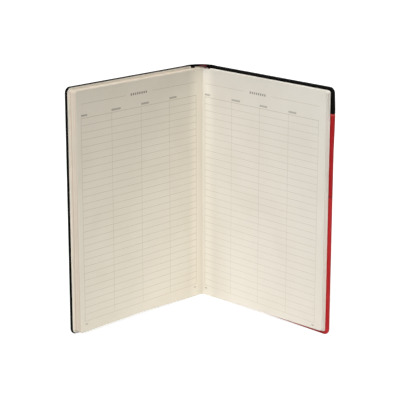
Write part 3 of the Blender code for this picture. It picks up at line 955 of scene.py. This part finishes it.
def build_spine(black):
    """Cloth over the rounded spine board."""
    section = turned_in_section(SPINE_EDGE_Y - SPINE_LOW.y)
    rings = []
    for x in evenly(SPINE_LOW.x, SPINE_HIGH.x, steps=16):
        y = SPINE_HIGH.y - SPINE_RADIUS + sqrt(SPINE_RADIUS**2 - x**2)
        rings.append([Vector((x, y - depth, height)) for depth, height in section])
    obj = piece("spine_cloth", lofted(rings), black, "spine_wrap")
    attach(obj, "spine")


def joint_paths():
    """Stations of a joint's cloth: round the spine's corner, and flat to the wall before the board.

    Each has across and reach of the outer face, the way it faces in two parts, and the thickness.
    """
    back = SEWN_Y - SPINE_EDGE_Y
    slope = OUTER_FACE - JOINT_CORNER + JOINT_CORNER * sin(SPINE_LEAN) - SPINE_HIGH.x
    centre = back + slope * tan(SPINE_LEAN) + JOINT_CORNER * cos(SPINE_LEAN)
    bend = [(SPINE_HIGH.x, back, sin(SPINE_LEAN), -cos(SPINE_LEAN), JOINT_DEPTH)]
    for a in evenly(SPINE_LEAN, pi / 2, JOINT_STEPS):
        across = OUTER_FACE - JOINT_CORNER + JOINT_CORNER * sin(a)
        bend.append((across, centre - JOINT_CORNER * cos(a), sin(a), -cos(a), JOINT_DEPTH))
    bend.append((OUTER_FACE, JOINT_SPLIT, 1.0, 0.0, JOINT_DEPTH))
    wall = COVER_NEAR - JOINT_WALL
    flat = [(OUTER_FACE, reach, 1.0, 0.0, JOINT_DEPTH) for reach in evenly(JOINT_SPLIT, wall, JOINT_STEPS)]
    for reach in (wall + JOINT_WALL_CORNER, COVER_NEAR):
        flat.append((OUTER_FACE, reach, 1.0, 0.0, OUTER_FACE - INNER_FACE))
    return bend, flat


def build_joints(black):
    """Cloth from the spine to each cover: a part bent round the spine's corner into the open half, and a flat
    part up to the cover.
    """
    bend, flat = joint_paths()
    for side, name in NAMES.items():
        for part, path, last, bodies in (
            ("bend", bend, -1, ("spine", PAGES[side])),
            ("flat", flat, JOINT_STEPS, (PAGES[side], COVERS[side])),
        ):
            rings = []
            for i, (across, reach, nx, ny, thickness) in enumerate(path):
                share = eased(i / (len(path) - 1)) if part == "bend" else 1.0
                ring = []
                for depth, height in turned_in_section(thickness):
                    point = (side * (across - nx * depth), reach - ny * depth, height)
                    ring.append(placed(point, side, share))
                rings.append(ring)
            obj = piece(f"{name}_joint_{part}", lofted(rings), black, name + "_joint")
            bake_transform(obj)


def swept(path, thickness, profile):
    """Rings and sheet coordinates of a strip. A station has a point, a width and a facing direction."""
    rings = []
    sheet = []
    length = 0.0
    last = path[0][0]
    for point, width, facing in path:
        length += (point - last).length
        last = point
        rings.append([point + width * w + facing * (t * thickness) for w, t in profile])
        sheet.append([(length, w * width.length, 0.0) for w, _ in profile])
    return rings, sheet


def strip_profile(steps, ribs=0, rib_depth=0.0):
    """Outline of a strip's section, in shares of its width and thickness, with ribs on both faces."""
    top = []
    for w in evenly(-0.5, 0.5, steps):
        to_edge = min(1.0, (0.5 - abs(w)) / STRIP_EDGE)
        full = STRIP_EDGE_FULL + (1 - STRIP_EDGE_FULL) * sqrt(to_edge)
        wave = (1 - cos(2 * pi * ribs * (w + 0.5))) / 2 if ribs else 1.0
        top.append((w, 0.5 * full * (1 - rib_depth + rib_depth * wave)))
    return top + [(w, -t) for w, t in top[::-1]]


def rounded(corners, radius):
    """A path (across, height) with each inner corner rounded."""
    path = [corners[0]]
    for before, corner, after in zip(corners, corners[1:], corners[2:]):
        corner = Vector(corner)
        one = (Vector(before) - corner).normalized()
        two = (Vector(after) - corner).normalized()
        for t in evenly(0.0, 1.0, steps=6):
            path.append(tuple(corner + one * radius * (1 - t) ** 2 + two * radius * t**2))
    path.append(corners[-1])
    return path


def subdivided(path, step):
    """The same path with no step longer than this."""
    made = [path[0]]
    for start, end in zip(path, path[1:]):
        start = Vector(start)
        end = Vector(end)
        count = max(1, ceil((end - start).length / step))
        made.extend(tuple(start.lerp(end, i / count)) for i in range(1, count + 1))
    return made


def build_elastic(look):
    """The band in two halves, each from its glued end through its slot to the middle."""
    outside, reach, middle = (BAND_LOW + BAND_HIGH) / 2
    profile = strip_profile(steps=48, ribs=8, rib_depth=0.22)
    for name in ("head", "tail"):
        low, high = closed_box(f"elastic_{name}_end", RIGHT)
        slot = high.z - BAND_THICKNESS / 2 if name == "head" else low.z + BAND_THICKNESS / 2
        tab = slot + (middle - slot) * BAND_TAB
        inside = low.x + BAND_SUNK
        corners = [(inside, tab), (inside, slot), (outside, slot), (outside, middle)]
        path = subdivided(rounded(corners, BAND_BEND), BAND_STEP)
        stations = []
        for i, (across, height) in enumerate(path):
            before = Vector(path[max(i - 1, 0)])
            after = Vector(path[min(i + 1, len(path) - 1)])
            way = (after - before).normalized()
            point = (across, reach, height)
            width = placed_way(point, (0.0, 1.0, 0.0)) * BAND_WIDTH
            stations.append((placed(point, RIGHT), width, placed_way(point, (-way.y, 0.0, way.x))))
        shape = lofted(*swept(stations, BAND_THICKNESS * BAND_FILL, profile))
        obj = piece(f"elastic_{name}_half", shape, look, f"elastic_{name}_end", "elastic_band")
        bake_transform(obj)


def build_headbands(look):
    """Cords wound with thread at both ends of the block, with a skirt down its back."""
    for end, radius in CORD_RADII.items():
        low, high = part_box(f"headband_{end}")
        at_head = end == "head"
        way = 1 if at_head else -1
        edge = high.z - CORD_DROP if at_head else COVER_TAIL + CORD_LIFT
        skirt = low.z if at_head else high.z
        y = high.y - radius
        z = edge - way * radius
        rings = []
        sheet = []
        for t in evenly(0.0, 1.0, steps=120):
            x = low.x + CORD_INSET + (high.x - low.x - 2 * CORD_INSET) * t
            winding = abs(sin(pi * CORD_WINDINGS * t))
            swell = radius * (1 - CORD_SWELL + CORD_SWELL * winding)
            ring = [Vector((x, high.y, skirt))]
            for a in evenly(0.0, CORD_TURN, steps=12):
                ring.append(Vector((x, y + swell * cos(a), z + way * swell * sin(a))))
            ring.append(Vector((x, high.y - CORD_SKIRT, z - way * radius)))
            ring.append(Vector((x, high.y - CORD_SKIRT, skirt)))
            rings.append(ring)
            sheet.append([(x - low.x, CORD_ROW * j, 0.0) for j in range(len(ring))])
        shape = lofted(rings, sheet)
        obj = piece(f"headband_{end}_cord", shape, look, f"headband_{end}", crease=60)
        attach(obj, "spine")


def back_stations(low, high, width, steps, strand=0):
    """Stations of a strip across the signatures' backs. A strand sways on one side, -1 or 1."""
    stations = []
    for t in evenly(0.0, 1.0, steps):
        phase = 2 * pi * SIGNATURE_COUNT * t
        x = low.x + (high.x - low.x) * t
        y = (low.y + high.y) / 2 + BACK_WAVE * cos(phase)
        z = (low.z + high.z) / 2 + strand * (STRAND_PLACE + STRAND_SWAY * sin(phase))
        stations.append((Vector((x, y, z)), Vector((0, 0, width)), Vector((0, 1, 0))))
    return stations


def build_threads(look):
    """Sewing thread, in two strands at each stitch."""
    profile = strip_profile(steps=8)
    for i in STITCHES:
        low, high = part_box(f"sewing_stitch_{i}")
        shape = Shape()
        for strand in (-1, 1):
            stations = back_stations(low, high, STRAND_WIDTH, steps=96, strand=strand)
            shape.loft(*swept(stations, STRAND_THICKNESS, profile))
        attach(piece(f"sewing_thread_{i}", shape, look, f"sewing_stitch_{i}"), "spine")


def build_gauze(look):
    """Gauze lining over the sewn backs."""
    low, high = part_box("spine_lining")
    stations = back_stations(low, high, high.z - low.z, steps=60)
    shape = lofted(*swept(stations, GAUZE_THICKNESS, strip_profile(steps=2)))
    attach(piece("spine_gauze", shape, look, "spine_lining"), "spine")


def ribbon_path():
    """Stations up the spine, over the headband and in between two signatures, in the closed notebook.

    Each has a point, a width direction, and a share of the gathering.
    """
    back = SEWN_Y - ROOT_HIGH.y + RIBBON_THICKNESS / 2
    top = COVER_HEAD + RIBBON_LOOP - RIBBON_THICKNESS / 2 - RIBBON_BEND
    points = [(RIBBON_MIDDLE, back, height) for height in evenly(ROOT_LOW.z, top, steps=11)]
    for a in evenly(0.0, RIBBON_TURN, steps=12)[1:]:
        reach = back + RIBBON_BEND - RIBBON_BEND * cos(a)
        points.append((RIBBON_MIDDLE, reach, top + RIBBON_BEND * sin(a)))
    path = [(Vector(point), Vector((1.0, 0.0, 0.0)), 0.0) for point in points]
    start = Vector(points[-1])
    heading = Vector((0.0, sin(RIBBON_TURN), cos(RIBBON_TURN)))
    enter = Vector((RIBBON_ACROSS, RIBBON_ENTERS, LEAF_HEAD))
    end = Vector((RIBBON_ACROSS, RIBBON_REACH, LEAF_HEAD - RIBBON_SLANT))
    handles = (start, start + heading * RIBBON_HANDLE, enter + Vector((0.0, 0.0, RIBBON_HANDLE)), enter)
    for t in evenly(0.0, 1.0, steps=24)[1:]:
        shares = ((1 - t) ** 3, 3 * t * (1 - t) ** 2, 3 * t**2 * (1 - t), t**3)
        point = sum((handle * share for handle, share in zip(handles, shares)), Vector())
        angle = pi / 2 * eased(t)
        path.append((point, Vector((cos(angle), -sin(angle), 0.0)), eased(t)))
    for t in evenly(0.0, 1.0, steps=12)[1:]:
        path.append((enter.lerp(end, t), Vector((0.0, -1.0, 0.0)), 1 - t))
    return path


def build_ribbon_root(look, profile):
    """The upper part of the ribbon, gathered where it twists."""
    path = ribbon_path()
    points = [point - across * (RIBBON_WIDTH * RIBBON_GATHER / 2 * share) for point, across, share in path]
    stations = []
    for i, (_, across, share) in enumerate(path):
        centre = on_leaf(points[i], RIGHT)
        way = (on_leaf(points[i] + across * MM, RIGHT) - centre).normalized()
        before = on_leaf(points[max(i - 1, 0)], RIGHT)
        after = on_leaf(points[min(i + 1, len(points) - 1)], RIGHT)
        facing = way.cross(after - before).normalized()
        stations.append((centre, way * (RIBBON_WIDTH * (1 - RIBBON_GATHER * share)), facing))
    shape = lofted(*swept(stations, RIBBON_THICKNESS * RIBBON_FILL, profile))
    fold_blend(piece("ribbon_root_satin", shape, look, "ribbon_root"))


def build_ribbon_marker(look, profile):
    """The lower part of the ribbon, flat between two signatures, with a slanted end."""
    stations = []
    for height in evenly(LEAF_HEAD - RIBBON_SLANT, MARKER_LOW.z, steps=39):
        point = (RIBBON_ACROSS, RIBBON_REACH, height)
        width = placed_way(point, (0.0, -1.0, 0.0)) * RIBBON_WIDTH
        stations.append((placed(point, RIGHT), width, placed_way(point, (1.0, 0.0, 0.0))))
    rings, sheet = swept(stations, RIBBON_THICKNESS * RIBBON_FILL, profile)
    for point, (w, _) in zip(rings[-1], profile):
        point.z += RIBBON_CUT * (w + 0.5)
    obj = piece("ribbon_marker_satin", lofted(rings, sheet), look, "ribbon_marker")
    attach(obj, PAGES[RIGHT])


def seen_directly(tree):
    """1 for rays that come from the camera, a reflection or a transmission."""
    seen = add_node(tree, "LightPath", {}, "Is Camera Ray")
    seen = seen.larger(add_node(tree, "LightPath", {}, "Is Glossy Ray"))
    return seen.larger(add_node(tree, "LightPath", {}, "Is Transmission Ray"))


def floor_material():
    """Pale to the light, and white where it is seen, apart from shadows."""
    material = bpy.data.materials.new("floor")
    material.use_nodes = True
    tree = material.node_tree
    tree.nodes.remove(tree.nodes["Principled BSDF"])
    pale = add_node(tree, "BsdfDiffuse", {"Color": linear(FLOOR_RGB)}, 0)
    shade = add_node(tree, "BsdfDiffuse", {"Color": linear(FLOOR_SHADE_RGB)}, 0)
    white = add_node(tree, "Emission", {"Strength": FLOOR_WHITE}, 0)
    shown = add_node(tree, "AddShader", {0: white, 1: shade}, 0)
    mix = add_node(tree, "MixShader", {0: seen_directly(tree), 1: pale, 2: shown}, 0)
    tree.links.new(mix.socket, tree.nodes["Material Output"].inputs["Surface"])
    return material


def build_floor():
    """Pale floor that shows white and keeps the notebook's shadow."""
    half = FLOOR_SIZE / 2
    corners = [(-half, -half, 0.0), (half, -half, 0.0), (half, half, 0.0), (-half, half, 0.0)]
    mesh = bpy.data.meshes.new("floor")
    mesh.from_pydata(corners, [], [(0, 1, 2, 3)])
    mesh.materials.append(floor_material())
    floor = added("floor", mesh)
    floor.location.z = CAD_BOX[0].z


def build_world():
    """Even white surroundings, dimmer as light than as background."""
    world = bpy.data.worlds.new("studio")
    world.use_nodes = True
    tree = world.node_tree
    background = tree.nodes["Background"]
    strength = seen_directly(tree) * (1 - AMBIENT) + AMBIENT
    tree.links.new(strength.socket, background.inputs["Strength"])
    background.inputs["Color"].default_value = (1.0, 1.0, 1.0, 1.0)
    bpy.context.scene.world = world


def add_lamp(data, place, aim):
    """A lamp at a place, shining along a direction."""
    lamp = added(data.name, data)
    lamp.location = place
    lamp.rotation_euler = Vector(aim).to_track_quat("-Z", "Y").to_euler()


def build_lamps():
    """Soft suns from three sides, and a soft spot on the foot of the left page."""
    for name, direction, angle, strength, rgb in SUNS:
        data = bpy.data.lights.new(name, "SUN")
        data.energy = strength
        data.color = rgb
        data.angle = angle
        add_lamp(data, direction, -Vector(direction))
    data = bpy.data.lights.new("spot", "SPOT")
    data.energy = SPOT_POWER
    data.color = SPOT_RGB
    data.spot_size = SPOT_CONE
    data.spot_blend = 1.0
    data.shadow_soft_size = SPOT_RADIUS
    add_lamp(data, SPOT_FROM, SPOT_TO - SPOT_FROM)


def build_camera():
    data = bpy.data.cameras.new("camera")
    data.sensor_width = SENSOR
    data.lens = FOCAL_PIXELS / PICTURE * SENSOR
    camera = added("camera", data)
    camera.location = CAMERA_PLACE
    camera.rotation_euler = (pi / 2 - CAMERA_PITCH, 0.0, CAMERA_YAW)
    bpy.context.scene.camera = camera
    bpy.context.scene.view_settings.view_transform = "Standard"


def main():
    build_camera()
    build_floor()
    build_world()
    build_lamps()
    plain_looks = {side: paper(PAGES[side] + "_paper", "ivory_paper", *PAGE_RGBS[side]) for side in PAGES}
    print_looks = {side: printed_paper(side) for side in PAGES}
    endpaper = paper("ivory_endpaper", "ivory_endpaper", *ENDPAPER_RGBS)
    black = cover_cloth("black_cover_cloth", *BLACK_CLOTH)
    build_signatures(plain_looks, print_looks)
    build_open_leaves(print_looks)
    build_endpapers(endpaper)
    build_front_cover(black)
    build_back_cover(black, red_cover_cloth())
    build_spine(black)
    build_joints(black)
    build_elastic(woven("woven_elastic"))
    build_headbands(woven("headband_cloth"))
    build_threads(woven("sewing_thread"))
    build_gauze(woven("spine_gauze"))
    satin = woven("ribbon_satin")
    profile = strip_profile(steps=12)
    build_ribbon_root(satin, profile)
    build_ribbon_marker(satin, profile)
    build_boards()


main()
